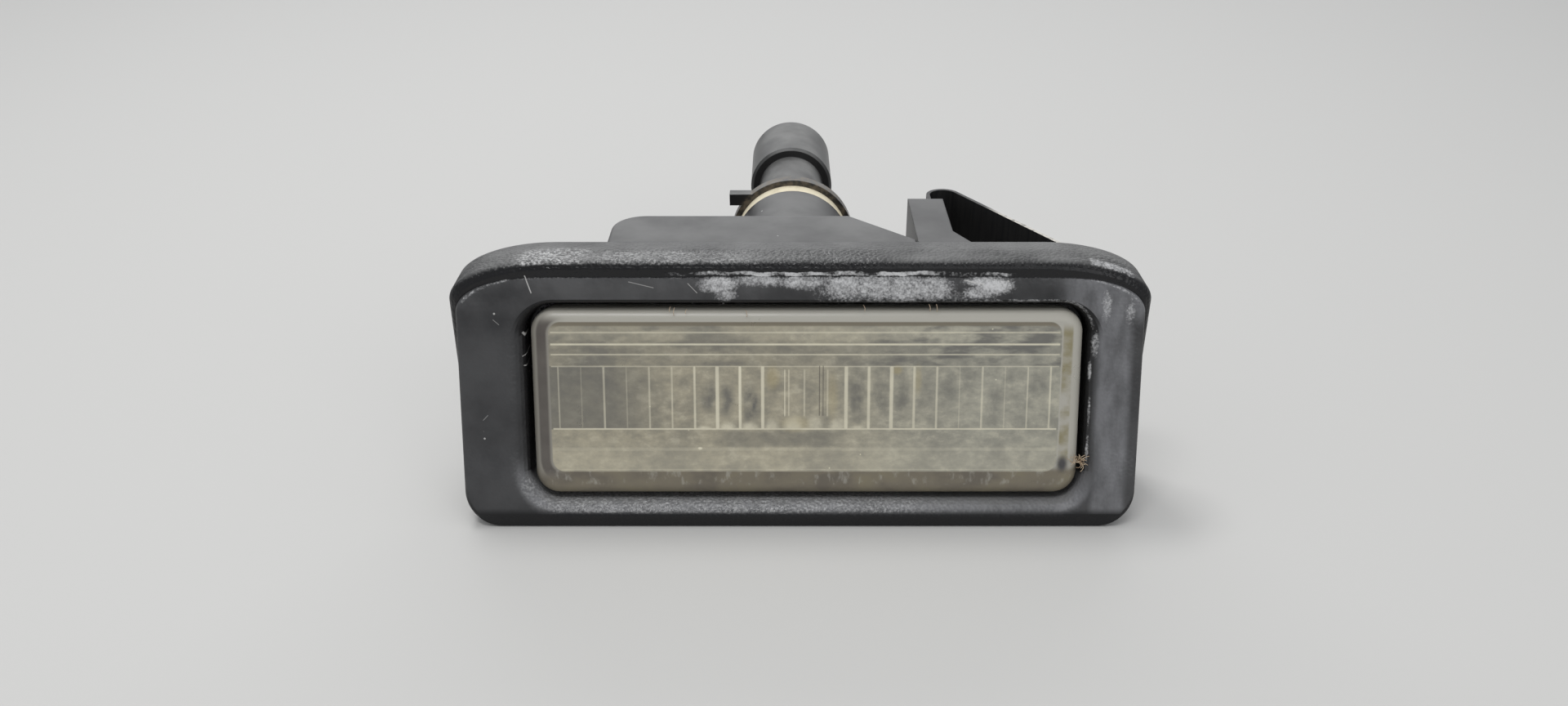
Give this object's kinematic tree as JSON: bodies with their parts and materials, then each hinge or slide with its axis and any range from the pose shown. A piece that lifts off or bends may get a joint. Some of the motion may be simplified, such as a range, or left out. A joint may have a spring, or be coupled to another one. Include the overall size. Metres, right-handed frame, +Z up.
{
  "type": "number plate lamp",
  "caption": "Panel-mounted number plate lamp: black wedge housing with a fluted prismatic lens, twist-lock bulb holder with a round connector barrel, and a hairpin spring clip.",
  "frame": {"origin": "middle of the flange's back face, in the panel's plane", "axes": "+X along the lamp's long side, +Y from the lens to the connector, +Z up as it stands in the picture"},
  "size_m": [0.0866, 0.0781, 0.033],
  "materials": {
    "housing_plastic": "fine moulded grain, dusty and scuffed on the edges",
    "lens_plastic": "clear, yellowed and grimy",
    "reflector_plastic": "smooth pale",
    "holder_plastic": "smooth satin",
    "seal_rubber": "cream, matt",
    "bulb_glass": "clear",
    "contact_brass": "dull stamped strip",
    "clip_steel": "blackened spring steel with a bare edge"
  },
  "bodies": {
    "base": {"housing": "housing_plastic", "lens": "lens_plastic", "reflector": "reflector_plastic", "spring_clip": "clip_steel"},
    "holder": {"bulb_holder": "holder_plastic", "holder_seal": "seal_rubber", "bulb": "bulb_glass", "contact_left": "contact_brass", "contact_right": "contact_brass"}
  },
  "joints": [
    {"name": "holder_twist", "type": "hinge", "parent": "base", "child": "holder", "pos_m": [-0.0008, 0.0249, 0.0057], "axis": [0, 1, 0], "range_deg": [0, 50]}
  ]
}
